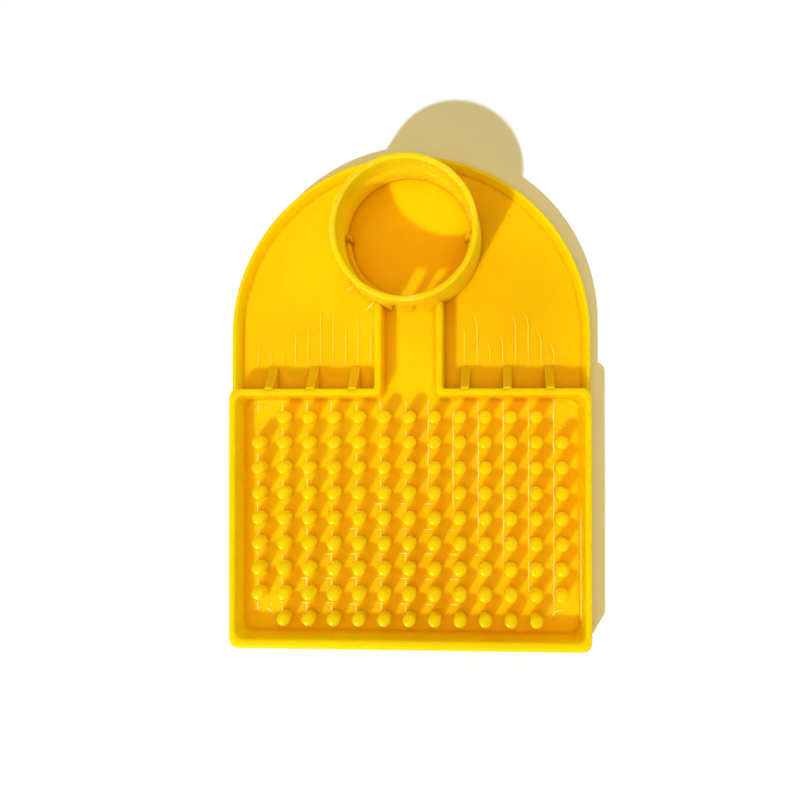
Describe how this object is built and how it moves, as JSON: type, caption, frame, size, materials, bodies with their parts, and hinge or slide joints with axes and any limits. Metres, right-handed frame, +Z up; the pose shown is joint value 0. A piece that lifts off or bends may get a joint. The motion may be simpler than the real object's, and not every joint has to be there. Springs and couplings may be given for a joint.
{
  "type": "hive entrance feeder",
  "caption": "Shallow tray filled with short pegs, joined by an open channel to a round bottle-neck socket on an arched, rimmed deck; feeds syrup to bees at a hive doorway.",
  "frame": {"origin": "middle of the flat underside, centre of the bounding box seen from above", "axes": "+X to the right across the tray, +Y from the tray's front edge towards the bottle socket, +Z up out of the socket"},
  "size_m": [0.084, 0.115, 0.0245],
  "materials": {
    "yellow_plastic": "glossy injection-moulded polypropylene, warm yellow, slightly translucent"
  },
  "bodies": {
    "root": {"tray_floor": "yellow_plastic", "tray_front_wall": "yellow_plastic", "tray_left_wall": "yellow_plastic", "tray_right_wall": "yellow_plastic", "tray_back_wall_left": "yellow_plastic", "tray_back_wall_right": "yellow_plastic", "deck_left": "yellow_plastic", "deck_right": "yellow_plastic", "channel_floor": "yellow_plastic", "deck_rim_left": "yellow_plastic", "deck_rim_right": "yellow_plastic", "channel_left_wall": "yellow_plastic", "channel_right_wall": "yellow_plastic", "socket_base": "yellow_plastic", "socket_tube": "yellow_plastic", "outlet_post": "yellow_plastic", "gusset_rib_1": "yellow_plastic", "gusset_rib_2": "yellow_plastic", "gusset_rib_3": "yellow_plastic", "gusset_rib_4": "yellow_plastic", "gusset_rib_5": "yellow_plastic", "gusset_rib_6": "yellow_plastic"}
  },
  "joints": []
}
